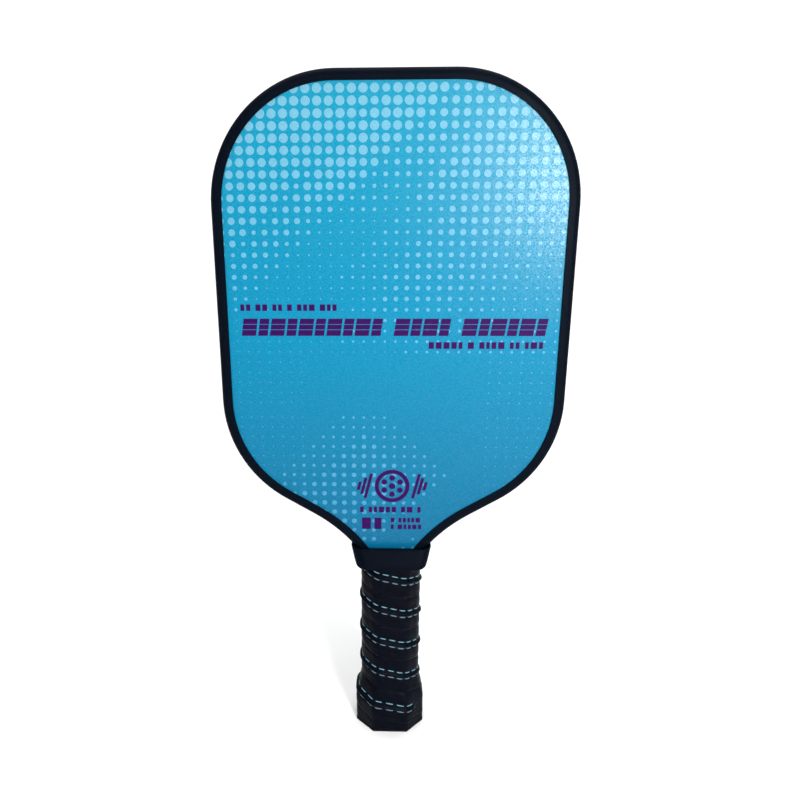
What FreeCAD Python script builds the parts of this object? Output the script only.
"""A pickleball paddle: a honeycomb blank with glued faces, an edge guard, a two-part handle,
a butt cap and a wrapped, stitched grip. Millimetres, +Z up the paddle from the butt, hitting face
towards -Y, origin at the centre of the butt's end."""

import FreeCAD, Part
import Sketcher
import math
import os
import re
from FreeCAD import Vector

DIMENSIONS = {
    "overall_length": 394.5,
    "head_width": 198.0,
    "top_radius": 67.6,
    "shoulder_height": 218.7,
    "shoulder_radius": 71.3,
    "shoulder_angle": 59.4,
    "shoulder_straight": 19.7,
    "throat_radius": 94.0,
    "core_thickness": 10.5,
    "cell_across": 7.4,
    "cell_wall": 0.6,
    "cell_margin": 2.0,
    "film_thickness": 0.15,
    "sheet_thickness": 0.5,
    "print_thickness": 0.1,
    "guard_depth": 14.2,
    "guard_wall": 2.0,
    "guard_tape_thickness": 0.3,
    "guard_lip": 6.4,
    "guard_round": 4.0,
    "guard_end": 119.5,
    "tongue_width": 23.0,
    "tongue_end": 4.0,
    "handle_width": 32.5,
    "handle_depth": 23.5,
    "handle_bevel": 7.83,
    "handle_top": 110.5,
    "pallet_top": 124.0,
    "pallet_foot_width": 28.0,
    "pallet_foot_flat": 16.0,
    "pallet_head_width": 27.0,
    "pallet_head_flat": 18.0,
    "pallet_head_depth": 18.0,
    "pallet_tape_thickness": 0.1,
    "butt_width": 39.5,
    "butt_depth": 30.0,
    "butt_bevel": 9.83,
    "flange_height": 1.4,
    "flange_growth": 2.0,
    "flare_low": 19.0,
    "flare_high": 34.0,
    "cap_wall": 1.2,
    "cap_floor": 4.0,
    "badge_radius": 10.0,
    "badge_thickness": 0.8,
    "badge_sink": 0.2,
    "staple_height": 12.0,
    "staple_crown": 10.0,
    "staple_leg": 8.0,
    "staple_wire": 1.0,
    "grip_tape_thickness": 0.2,
    "grip_foam_thickness": 1.0,
    "grip_leather_thickness": 0.8,
    "grip_end": 118.0,
    "seam_pitch": 22.45,
    "seam_front_height": 18.5,
    "seam_low": 15.0,
    "seam_high": 113.4,
    "seam_width": 2.6,
    "seam_rise": 1.0,
    "stitch_length": 4.2,
    "stitch_spacing": 5.6,
    "stitch_wire": 0.7,
    "stitch_offset": 2.3,
    "band_low": 115.6,
    "band_thickness": 0.15,
    "collar_low": 115.3,
    "collar_high": 127.0,
    "collar_wall": 1.5,
    "collar_low_width": 42.6,
    "collar_low_depth": 31.2,
    "collar_high_width": 49.4,
    "collar_high_depth": 21.5,
    "collar_corner": 7.0,
}
BEVEL_GROWTH = 2 - math.sqrt(2)  # how much a 45 degree bevel's leg grows as the octagon grows by 1
AXIS_CLEARANCE = 1e-9
PARTS_FOLDER = "parts"

doc = FreeCAD.newDocument("pickleball_paddle")
sheet = doc.addObject("Spreadsheet::Sheet", "Sizes")
for row, (alias, number) in enumerate(DIMENSIONS.items(), start=1):
    sheet.set(f"A{row}", alias)
    sheet.set(f"B{row}", str(number))
    sheet.setAlias(f"B{row}", alias)
doc.recompute()


# Expressions and sketches


def cells(formula):
    """Puts the sheet's name before each of its cells in a formula."""
    return re.sub(r"[a-z_]+", lambda m: f"Sizes.{m[0]}" if m[0] in DIMENSIONS else m[0], formula)


def number(formula):
    """What a formula about the sheet comes to, in millimetres."""
    return float(sheet.evalExpression(cells(formula)))


def new_body(label):
    """A PartDesign body whose label names its file."""
    body = doc.addObject("PartDesign::Body", label)
    body.Label = label
    return body


def plane_of(body, role):
    """One of a body's own origin planes."""
    return next(plane for plane in body.Origin.OriginFeatures if plane.Role == role)


def edge_between(start, end, bulge):
    """A straight edge, or the short arc of radius |bulge|. A positive bulge lies left of the way along."""
    if not bulge:
        return Part.LineSegment(start, end)
    if bulge > 0:
        start, end = end, start
    chord = end - start
    radius = abs(bulge)
    left = Vector(-chord.y, chord.x, 0).normalize()
    centre = (start + end) * 0.5 + left * math.sqrt(radius**2 - (chord.Length / 2) ** 2)
    first, last = (math.atan2(p.y - centre.y, p.x - centre.x) for p in (start, end))
    return Part.ArcOfCircle(Part.Circle(centre, Vector(0, 0, 1), radius), first, last)


def outline_edges(corners):
    """The edges of a closed outline whose corners are (x, y, bulge of the edge that leaves it)."""
    points = [Vector(number(x), number(y), 0) for x, y, _ in corners]
    bulges = [number(bulge) if bulge else 0.0 for _, _, bulge in corners]
    return [
        edge_between(point, points[(index + 1) % len(points)], bulges[index])
        for index, point in enumerate(points)
    ]


def tie(sketch, edge, end, axis_values):
    """Ties one end of an edge to the sheet, by its distances from the sketch's two axes."""
    for kind, formula, axis in axis_values:
        value = number(formula)
        if abs(value) < AXIS_CLEARANCE:
            sketch.addConstraint(Sketcher.Constraint("PointOnObject", edge, end, axis))
            continue
        if value > 0:
            made = sketch.addConstraint(Sketcher.Constraint(kind, -1, 1, edge, end, value))
            sketch.setExpression(f"Constraints[{made}]", cells(formula))
        else:
            made = sketch.addConstraint(Sketcher.Constraint(kind, edge, end, -1, 1, -value))
            sketch.setExpression(f"Constraints[{made}]", cells(f"-({formula})"))


def new_sketch(body, name, role, offset):
    """An empty sketch on one of the body's origin planes, raised off it by a formula."""
    sketch = body.newObject("Sketcher::SketchObject", name)
    sketch.AttachmentSupport = (plane_of(body, role), "")
    sketch.MapMode = "FlatFace"
    sketch.setExpression(".AttachmentOffset.Base.z", cells(offset))
    return sketch


def draw(body, name, role, corners, offset="0"):
    """A closed, fully tied outline of straight and round edges."""
    sketch = new_sketch(body, name, role, offset)
    edges = outline_edges(corners)
    for edge in edges:
        sketch.addGeometry(edge)
    ends = []
    for index, (x, y, _) in enumerate(corners):
        corner = Vector(number(x), number(y), 0)
        drawn = sketch.Geometry[index]
        forward = drawn.StartPoint.distanceToPoint(corner) < drawn.EndPoint.distanceToPoint(corner)
        ends.append((1, 2) if forward else (2, 1))
    for index, (x, y, bulge) in enumerate(corners):
        following = (index + 1) % len(corners)
        joint = ("Coincident", index, ends[index][1], following, ends[following][0])
        sketch.addConstraint(Sketcher.Constraint(*joint))
        tie(sketch, index, ends[index][0], (("DistanceX", x, -2), ("DistanceY", y, -1)))
        if bulge:
            made = sketch.addConstraint(Sketcher.Constraint("Radius", index, abs(number(bulge))))
            sketch.setExpression(f"Constraints[{made}]", cells(f"abs({bulge})"))
    return sketch


# Solid features


def pad(body, sketch, length, symmetric=False):
    """Pads a sketch along its normal, or equally both ways."""
    feature = body.newObject("PartDesign::Pad", f"{sketch.Name}_pad")
    feature.Profile = sketch
    feature.SideType = "Symmetric" if symmetric else "One side"
    feature.setExpression("Length", cells(length))
    doc.recompute()
    return feature


def pocket(body, sketch, length, symmetric=False, along_normal=False):
    """Cuts a sketch's outline out of the body, and stops if nothing was cut."""
    before = body.Shape.Volume
    feature = body.newObject("PartDesign::Pocket", f"{sketch.Name}_pocket")
    feature.Profile = sketch
    feature.SideType = "Symmetric" if symmetric else "One side"
    feature.Reversed = along_normal
    feature.setExpression("Length", cells(length))
    doc.recompute()
    if not body.Shape.Volume < before:
        raise RuntimeError(f"{feature.Name} cut nothing")
    return feature


def loft(body, kind, sketches):
    """A ruled loft that adds to or cuts from the body."""
    feature = body.newObject(f"PartDesign::{kind}Loft", f"{sketches[0].Name}_loft")
    feature.Profile = sketches[0]
    feature.Sections = sketches[1:]
    feature.Ruled = True
    doc.recompute()
    return feature


# The head's outline: straight top and sides, round corners, then shoulders that run into the throat

SHOULDER_X = "head_width / 2 - shoulder_radius"
THROAT_X = (
    f"({SHOULDER_X} + (shoulder_radius + throat_radius) * cos(shoulder_angle)"
    " - shoulder_straight * sin(shoulder_angle))"
)
THROAT_Z = (
    "(shoulder_height - (shoulder_radius + throat_radius) * sin(shoulder_angle)"
    " - shoulder_straight * cos(shoulder_angle))"
)


def mirrored(corners):
    """A right-hand half outline, listed upwards, closed by its left-hand mirror image."""
    left = []
    for index in range(len(corners) - 1, -1, -1):
        x, z, _ = corners[index]
        bulge = corners[index - 1][2] if index else None
        left.append((f"-({x})", z, bulge))
    return corners + left


def head_right_side(inset, foot):
    """The right-hand side of the head's outline, inset from the edge, from the foot up to the top."""
    reach = f"(throat_radius + {inset})"
    foot_x = f"{THROAT_X} - sqrt({reach} * {reach} - ({foot} - {THROAT_Z}) * ({foot} - {THROAT_Z}))"
    throat_end_x = f"{THROAT_X} - {reach} * cos(shoulder_angle)"
    throat_end_z = f"{THROAT_Z} + {reach} * sin(shoulder_angle)"
    shoulder_end_x = f"{SHOULDER_X} + (shoulder_radius - {inset}) * cos(shoulder_angle)"
    shoulder_end_z = f"shoulder_height - (shoulder_radius - {inset}) * sin(shoulder_angle)"
    return [
        (foot_x, foot, reach),
        (throat_end_x, throat_end_z, None),
        (shoulder_end_x, shoulder_end_z, f"-(shoulder_radius - {inset})"),
        (f"head_width / 2 - {inset}", "shoulder_height", None),
        (f"head_width / 2 - {inset}", "overall_length - top_radius", f"-(top_radius - {inset})"),
        ("head_width / 2 - top_radius", f"overall_length - {inset}", None),
    ]


def head_outline(inset, foot):
    """The head alone, cut off square at the foot."""
    return mirrored(head_right_side(inset, foot))


def blank_outline():
    """The head with the tongue that runs down inside the handle."""
    inset = BLANK_INSET
    reach = f"(throat_radius + {inset})"
    gap = f"({THROAT_X} - tongue_width / 2)"
    tongue_top = f"{THROAT_Z} + sqrt({reach} * {reach} - {gap} * {gap})"
    side = head_right_side(inset, "guard_end")
    side[0] = ("tongue_width / 2", tongue_top, reach)
    return mirrored([("tongue_width / 2", "tongue_end", None)] + side)


BLANK_INSET = "(guard_wall + guard_tape_thickness)"
FILM_START = "core_thickness / 2"
SHEET_START = f"({FILM_START} + film_thickness)"
PRINT_START = f"({SHEET_START} + sheet_thickness)"
BLANK_HALF = f"({PRINT_START} + print_thickness)"
SLOT_HALF = f"({PRINT_START} + pallet_tape_thickness)"


# The blank: core, adhesive films, glass-fibre face sheets and their printed layers


def hexagon(centre_x, centre_z):
    """One honeycomb cell's outline in the core's mid-plane."""
    radius = number("cell_across") / math.sqrt(3)
    points = []
    for corner in range(7):
        angle = math.radians(60 * corner + 30)
        point = Vector(centre_x + radius * math.cos(angle), 0, centre_z + radius * math.sin(angle))
        points.append(point)
    return Part.makePolygon(points)


def cell_centres():
    """Staggered rows of cell centres over the whole blank."""
    pitch = number("cell_across + cell_wall")
    row_height = pitch * math.sqrt(3) / 2
    half_count = math.ceil(number("head_width") / 2 / pitch)
    for row_index in range(math.ceil(number("overall_length") / row_height)):
        shift = pitch / 2 if row_index % 2 else 0.0
        for column in range(-half_count, half_count + 1):
            yield column * pitch + shift, row_index * row_height


def outline_wire(corners):
    """An outline stood up in the paddle's mid-plane."""
    wire = Part.Wire([edge.toShape() for edge in outline_edges(corners)])
    return wire.transformGeometry(FreeCAD.Placement(Vector(), Vector(1, 0, 0), 90).toMatrix())


def add_honeycomb_core():
    """Hexagonal cells through the whole blank. It is a plain feature because a sketch is too slow."""
    outer = outline_wire(blank_outline())
    room = Part.Face(outer.makeOffset2D(-number("cell_margin")))
    holes = []
    for centre_x, centre_z in cell_centres():
        cell = hexagon(centre_x, centre_z)
        if all(room.isInside(vertex.Point, 1e-6, True) for vertex in cell.Vertexes):
            holes.append(cell)
    section = Part.makeFace([outer, *holes], "Part::FaceMakerBullseye")
    thickness = number("core_thickness")
    core = doc.addObject("Part::Feature", "honeycomb_core")
    core.Label = "honeycomb_core"
    section.translate(Vector(0, -thickness / 2, 0))
    core.Shape = section.extrude(Vector(0, thickness, 0))
    core.Placement = FreeCAD.Placement()


def add_layer(name, corners, start, thickness):
    """A thin layer on the front of the blank and its twin on the rear."""
    front = new_body(f"front_{name}")
    pad(front, draw(front, f"front_{name}_outline", "XZ_Plane", corners, start), thickness)
    rear = new_body(f"rear_{name}")
    offset = f"-({start} + {thickness})"
    pad(rear, draw(rear, f"rear_{name}_outline", "XZ_Plane", corners, offset), thickness)


def add_blank():
    add_honeycomb_core()
    add_layer("adhesive_film", blank_outline(), FILM_START, "film_thickness")
    add_layer("face_sheet", blank_outline(), SHEET_START, "sheet_thickness")
    print_outline = head_outline(BLANK_INSET, "pallet_top")
    add_layer("print_layer", print_outline, PRINT_START, "print_thickness")


# The edge guard and the tape that holds it


def fillet_rim(body, base, radius):
    """Rounds the outer rim of the guard's solid, on both of its flat sides."""
    half = number("guard_depth") / 2
    low = number("guard_end")
    rim = []
    for index, edge in enumerate(base.Shape.Edges, start=1):
        flat = all(abs(abs(vertex.Point.y) - half) < 1e-6 for vertex in edge.Vertexes)
        at_end = all(abs(vertex.Point.z - low) < 1e-6 for vertex in edge.Vertexes)
        if flat and not at_end:
            rim.append(f"Edge{index}")
    feature = body.newObject("PartDesign::Fillet", "guard_rim_fillet")
    feature.Base = (base, rim)
    feature.setExpression("Radius", cells(radius))
    doc.recompute()


def add_edge_guard():
    guard = new_body("edge_guard")
    rim = draw(guard, "guard_rim", "XZ_Plane", head_outline("0", "guard_end"))
    base = pad(guard, rim, "guard_depth", symmetric=True)
    fillet_rim(guard, base, "guard_round")
    opening = draw(guard, "guard_opening", "XZ_Plane", head_outline("guard_lip", "collar_low"))
    pocket(guard, opening, "guard_depth", symmetric=True)
    channel = draw(guard, "guard_channel", "XZ_Plane", head_outline("guard_wall", "collar_low"))
    pocket(guard, channel, f"2 * {BLANK_HALF}", symmetric=True)


def add_guard_tape():
    tape = new_body("edge_guard_tape")
    outer = draw(tape, "tape_outside", "XZ_Plane", head_outline("guard_wall", "collar_high"))
    pad(tape, outer, "core_thickness", symmetric=True)
    inner = draw(tape, "tape_inside", "XZ_Plane", head_outline(BLANK_INSET, "collar_low"))
    pocket(tape, inner, "core_thickness", symmetric=True)


# Octagonal sections of the handle


def octagon(width, depth, bevel):
    """An octagon round the paddle's axis with 45 degree bevels."""
    side_x = f"({width}) / 2"
    side_y = f"(({depth}) / 2 - ({bevel}))"
    face_x = f"(({width}) / 2 - ({bevel}))"
    face_y = f"({depth}) / 2"
    corners = []
    for x, y in ((side_x, side_y), (face_x, face_y)):
        corners.append((x, y, None))
    left_face = [(f"-{face_x}", face_y, None), (f"-{side_x}", side_y, None)]
    low = [(x, f"-{y}", None) for x, y, _ in reversed(corners + left_face)]
    return corners + left_face + low


def grown(prefix, growth):
    """The butt's or the handle's octagon, grown outwards by a formula."""
    return octagon(
        f"{prefix}_width + 2 * {growth}",
        f"{prefix}_depth + 2 * {growth}",
        f"{prefix}_bevel + {BEVEL_GROWTH:.6f} * {growth}",
    )


def flared_sections(body, name, growth, low, high):
    """Sections of the flared handle: the butt's octagon, then the handle's above the flare."""
    places = [("butt", low), ("butt", "flare_low"), ("handle", "flare_high")]
    if high != "flare_high":
        places.append(("handle", high))
    return [
        draw(body, f"{name}_{index}", "XY_Plane", grown(prefix, growth), height)
        for index, (prefix, height) in enumerate(places)
    ]


# The handle pallets, their tape, the butt cap, its staples and its badge


def half_section(growth):
    """The front half of the handle's octagon, with the slot for the tongue."""
    width = f"(handle_width / 2 + {growth})"
    depth = f"(handle_depth / 2 + {growth})"
    bevel = f"(handle_bevel + {BEVEL_GROWTH:.6f} * {growth})"
    right = [
        ("tongue_width / 2", "0"),
        (width, "0"),
        (width, f"-({depth} - {bevel})"),
        (f"({width} - {bevel})", f"-{depth}"),
    ]
    left = [(f"-({x})", y) for x, y in reversed(right)]
    slot = [("-(tongue_width / 2)", f"-{SLOT_HALF}"), ("tongue_width / 2", f"-{SLOT_HALF}")]
    return [(x, y, None) for x, y in right + left + slot]


def tapered_section(width, flat, depth):
    """The pallet above the handle, where it lies on the blank's face."""
    right = [(f"{width} / 2", f"-{SLOT_HALF}"), (f"{flat} / 2", f"-({depth} / 2)")]
    left = [(f"-({x})", y) for x, y in reversed(right)]
    return [(x, y, None) for x, y in right + left]


def staple_outline(sign):
    """A staple seen from above, flush with the butt cap's front or rear."""
    face = f"{sign}(butt_depth / 2)"
    under_crown = f"{sign}(butt_depth / 2 - staple_wire)"
    tip = f"{sign}(butt_depth / 2 - staple_leg)"
    outside = "staple_crown / 2"
    inside = "(staple_crown / 2 - staple_wire)"
    right = [(outside, face), (outside, tip), (inside, tip), (inside, under_crown)]
    left = [(f"-({x})", y) for x, y in reversed(right)]
    return [(x, y, None) for x, y in right + left]


def cut_staple_slot(body, name, sign):
    """The slot that a staple fills."""
    slot = draw(body, name, "XY_Plane", staple_outline(sign), "staple_height")
    pocket(body, slot, "staple_wire", along_normal=True)


def add_pallet(label):
    """A moulded half of the handle, made as the front one."""
    body = new_body(label)
    skirt = draw(body, f"{label}_skirt", "XY_Plane", half_section("(-cap_wall)"), "cap_floor")
    pad(body, skirt, "flare_high - cap_floor")
    main = draw(body, f"{label}_main", "XY_Plane", half_section("0"), "flare_high")
    pad(body, main, "handle_top - flare_high")
    foot = tapered_section("pallet_foot_width", "pallet_foot_flat", "handle_depth")
    head = tapered_section("pallet_head_width", "pallet_head_flat", "pallet_head_depth")
    sections = [
        draw(body, f"{label}_foot", "XY_Plane", foot, "handle_top"),
        draw(body, f"{label}_head", "XY_Plane", head, "pallet_top"),
    ]
    loft(body, "Additive", sections)
    cut_staple_slot(body, f"{label}_staple_slot", "-")
    return body


def add_pallet_tape(label):
    """The double-sided tape between a pallet and the blank, made as the front one."""
    body = new_body(label)
    half = "tongue_width / 2"
    corners = [
        (half, "tongue_end", None),
        (half, "pallet_top", None),
        (f"-({half})", "pallet_top", None),
        (f"-({half})", "tongue_end", None),
    ]
    pad(body, draw(body, f"{label}_outline", "XZ_Plane", corners, PRINT_START), "pallet_tape_thickness")
    return body


def turn_to_rear(body):
    """Turns a body made as the front one round the paddle's axis to the rear."""
    body.Placement = FreeCAD.Placement(Vector(), Vector(0, 0, 1), 180)


def add_butt_cap():
    cap = new_body("butt_cap")
    loft(cap, "Additive", flared_sections(cap, "cap_outside", "0", "0", "flare_high"))
    flange = draw(cap, "cap_flange", "XY_Plane", grown("butt", "flange_growth"))
    pad(cap, flange, "flange_height")
    cavity = draw(cap, "cap_cavity", "XY_Plane", grown("handle", "(-cap_wall)"), "cap_floor")
    pocket(cap, cavity, "flare_high - cap_floor", along_normal=True)
    for name, sign in (("cap_front_slot", "-"), ("cap_rear_slot", "")):
        cut_staple_slot(cap, name, sign)
    recess = new_sketch(cap, "cap_badge_recess", "XY_Plane", "0")
    recess.addGeometry(Part.Circle(Vector(), Vector(0, 0, 1), number("badge_radius")))
    recess.addConstraint(Sketcher.Constraint("Coincident", 0, 3, -1, 1))
    made = recess.addConstraint(Sketcher.Constraint("Radius", 0, number("badge_radius")))
    recess.setExpression(f"Constraints[{made}]", cells("badge_radius"))
    pocket(cap, recess, "badge_thickness + badge_sink", along_normal=True)


def add_badge():
    """The blank disc set into the butt's end."""
    badge = doc.addObject("Part::Cylinder", "butt_end_badge")
    badge.Label = "butt_end_badge"
    badge.setExpression("Radius", cells("badge_radius"))
    badge.setExpression("Height", cells("badge_thickness"))
    badge.setExpression(".Placement.Base.z", cells("badge_sink"))


def add_staples():
    """One staple through each broad side of the butt cap, kept as one node."""
    made = []
    for name, sign in (("front_staple", "-"), ("rear_staple", "")):
        body = new_body(name)
        outline = draw(body, f"{name}_outline", "XY_Plane", staple_outline(sign), "staple_height")
        pad(body, outline, "staple_wire")
        made.append(body)
    group = doc.addObject("Part::Compound", "butt_cap_staples")
    group.Label = "butt_cap_staples"
    group.Links = made


def add_handle():
    add_pallet("front_handle_pallet")
    turn_to_rear(add_pallet("rear_handle_pallet"))
    add_pallet_tape("front_pallet_tape")
    turn_to_rear(add_pallet_tape("rear_pallet_tape"))
    add_butt_cap()
    add_staples()
    add_badge()


# The grip: adhesive strip, foam backing and leather as plain sleeves, then the raised seam and stitches

FOAM_START = "grip_tape_thickness"
LEATHER_START = f"({FOAM_START} + grip_foam_thickness)"
GRIP_SURFACE = f"({LEATHER_START} + grip_leather_thickness)"


def add_sleeve(label, start, end):
    """One layer of the grip, between two growths of the handle's shape."""
    body = new_body(label)
    outside = flared_sections(body, f"{label}_outside", end, "flange_height", "grip_end")
    loft(body, "Additive", outside)
    inside = flared_sections(body, f"{label}_inside", start, "flange_height", "grip_end")
    loft(body, "Subtractive", inside)


def octagon_corner(index, height):
    """A corner of the grip's surface at a height, counted round from the front's right-hand end."""
    flare = (number("flare_high") - height) / number("flare_high - flare_low")
    flare = min(max(flare, 0.0), 1.0)
    handle = octagon_numbers("handle")
    butt = octagon_numbers("butt")
    width, depth, bevel = (a + (b - a) * flare for a, b in zip(handle, butt))
    corners = [
        (width - bevel, -depth),
        (width, bevel - depth),
        (width, depth - bevel),
        (width - bevel, depth),
        (bevel - width, depth),
        (-width, depth - bevel),
        (-width, bevel - depth),
        (bevel - width, -depth),
    ]
    x, y = corners[index % 8]
    return Vector(x, y, height)


def octagon_numbers(prefix):
    """Half width, half depth and bevel of the grip's surface over the handle or the butt."""
    surface = number(GRIP_SURFACE)
    half_width = number(f"{prefix}_width / 2") + surface
    half_depth = number(f"{prefix}_depth / 2") + surface
    return half_width, half_depth, number(f"{prefix}_bevel") + BEVEL_GROWTH * surface


def seam_corners():
    """Where the seam's helix crosses the octagon's edges, from the top down, as (corner, point)."""
    ring = [octagon_corner(index, number("grip_end")) for index in range(8)]
    sides = [(ring[(index + 1) % 8] - ring[index]).Length for index in range(8)]
    fall = number("seam_pitch") / sum(sides)
    turns = math.ceil(number("seam_high / seam_pitch"))
    height = number("seam_front_height") + turns * number("seam_pitch") - sides[7] / 2 * fall
    index = 0
    crossings = []
    while height > number("seam_low"):
        if height < number("seam_high"):
            crossings.append((index, octagon_corner(index, height)))
        height -= sides[index % 8] * fall
        index += 1
    return crossings


def outward(index):
    """The level direction out of the octagon at a corner, halfway between its two sides."""
    middle_angle = math.radians(-67.5 + 45 * (index % 8))
    return Vector(math.cos(middle_angle), math.sin(middle_angle), 0)


def seam_profile(index, corner):
    """The raised seam's section, standing on one of the octagon's edges."""
    half, rise = number("seam_width") / 2, number("seam_rise")
    shape = ((0, -half), (0.7 * rise, -0.7 * half), (rise, 0), (0.7 * rise, 0.7 * half), (0, half))
    out = outward(index) / math.cos(math.radians(22.5))
    points = [corner + out * reach + Vector(0, 0, lift) for reach, lift in shape]
    return Part.makePolygon(points + points[:1])


def add_seam():
    """The raised seam where the strip's turns meet. No primitive follows an octagon's helix."""
    profiles = [seam_profile(index, corner) for index, corner in seam_corners()]
    seam = doc.addObject("Part::Feature", "grip_seam_welt")
    seam.Label = "grip_seam_welt"
    seam.Shape = Part.makeLoft(profiles, True, True)
    seam.Placement = FreeCAD.Placement()


def add_stitches(label, lift):
    """A row of stitches beside the seam, each a short thread lying on the leather."""
    crossings = seam_corners()
    radius = number("stitch_wire") / 2
    length, spacing = number("stitch_length"), number("stitch_spacing")
    threads = []
    for (index, start), (_, end) in zip(crossings, crossings[1:]):
        along = (end - start).normalize()
        side_angle = math.radians(-45 + 45 * (index % 8))
        out = Vector(math.cos(side_angle), math.sin(side_angle), 0) * 2 * radius
        count = max(1, round((end - start).Length / spacing))
        for stitch in range(count):
            middle = start + (end - start) * ((stitch + 0.5) / count)
            tail = middle - along * (length / 2) + out + Vector(0, 0, lift)
            threads.append(Part.makeCylinder(radius, length, tail, along))
    row = doc.addObject("Part::Feature", label)
    row.Label = label
    row.Shape = Part.makeCompound(threads)
    row.Placement = FreeCAD.Placement()


def add_grip():
    add_sleeve("grip_adhesive_strip", "0", FOAM_START)
    add_sleeve("grip_foam_backing", FOAM_START, LEATHER_START)
    add_sleeve("grip_leather", LEATHER_START, GRIP_SURFACE)
    add_seam()
    add_stitches("grip_stitching_upper", number("stitch_offset"))
    add_stitches("grip_stitching_lower", -number("stitch_offset"))


# The finishing tape round the grip's top edge, and the rubber collar over it


def add_finishing_tape():
    body = new_body("finishing_tape")
    outside = draw(
        body, "band_outside", "XY_Plane", grown("handle", f"({GRIP_SURFACE} + band_thickness)"), "band_low"
    )
    pad(body, outside, "grip_end - band_low")
    inside = draw(body, "band_inside", "XY_Plane", grown("handle", GRIP_SURFACE), "band_low")
    pocket(body, inside, "grip_end - band_low", along_normal=True)


def rounded_rectangle(width, depth, radius):
    """A rectangle round the paddle's axis with round corners."""
    side_x, side_y = f"({width}) / 2", f"(({depth}) / 2 - ({radius}))"
    face_x, face_y = f"(({width}) / 2 - ({radius}))", f"({depth}) / 2"
    bulge = f"-({radius})"
    return [
        (side_x, side_y, bulge),
        (face_x, face_y, None),
        (f"-{face_x}", face_y, bulge),
        (f"-{side_x}", side_y, None),
        (f"-{side_x}", f"-{side_y}", bulge),
        (f"-{face_x}", f"-{face_y}", None),
        (face_x, f"-{face_y}", bulge),
        (side_x, f"-{side_y}", None),
    ]


def collar_sections(body, name, wall):
    """The collar's low and high sections, a wall's thickness inside its surface."""
    return [
        draw(
            body,
            f"{name}_{end}",
            "XY_Plane",
            rounded_rectangle(
                f"collar_{end}_width - 2 * {wall}",
                f"collar_{end}_depth - 2 * {wall}",
                f"collar_corner - {wall}",
            ),
            f"collar_{end}",
        )
        for end in ("low", "high")
    ]


def add_collar():
    body = new_body("collar")
    loft(body, "Additive", collar_sections(body, "collar_outside", "0"))
    loft(body, "Subtractive", collar_sections(body, "collar_inside", "collar_wall"))


# Checks and export


def check_document():
    """Stops if any object failed to recompute."""
    for item in doc.Objects:
        if "Invalid" in item.State or "Error" in item.State:
            raise RuntimeError(f"{item.Label} failed: {item.State}")


def sub_parts():
    """The objects that are exported: bodies and plain parts, except the pieces of a group."""
    kinds = ("PartDesign::Body", "Part::Cylinder", "Part::Compound", "Part::Feature")
    grouped = [piece for item in doc.Objects if item.TypeId == "Part::Compound" for piece in item.Links]
    return [item for item in doc.Objects if item.TypeId in kinds and item not in grouped]


def export():
    os.makedirs(PARTS_FOLDER, exist_ok=True)
    checked = sub_parts()
    for item in checked:
        if item.Shape.isNull() or not item.Shape.isValid() or not item.Shape.Solids:
            raise RuntimeError(f"{item.Label} has no valid solid")
    for item in checked:
        item.Shape.exportStep(os.path.join(PARTS_FOLDER, f"{item.Label}.step"))
        box = item.Shape.optimalBoundingBox(False)
        print(
            f"{item.Label}: {len(item.Shape.Solids)} solids, {item.Shape.Volume:.0f} mm3,"
            f" x {box.XMin:.2f} {box.XMax:.2f} y {box.YMin:.2f} {box.YMax:.2f}"
            f" z {box.ZMin:.2f} {box.ZMax:.2f}"
        )


add_blank()
add_edge_guard()
add_guard_tape()
add_handle()
add_grip()
add_finishing_tape()
add_collar()
doc.recompute()
check_document()
export()
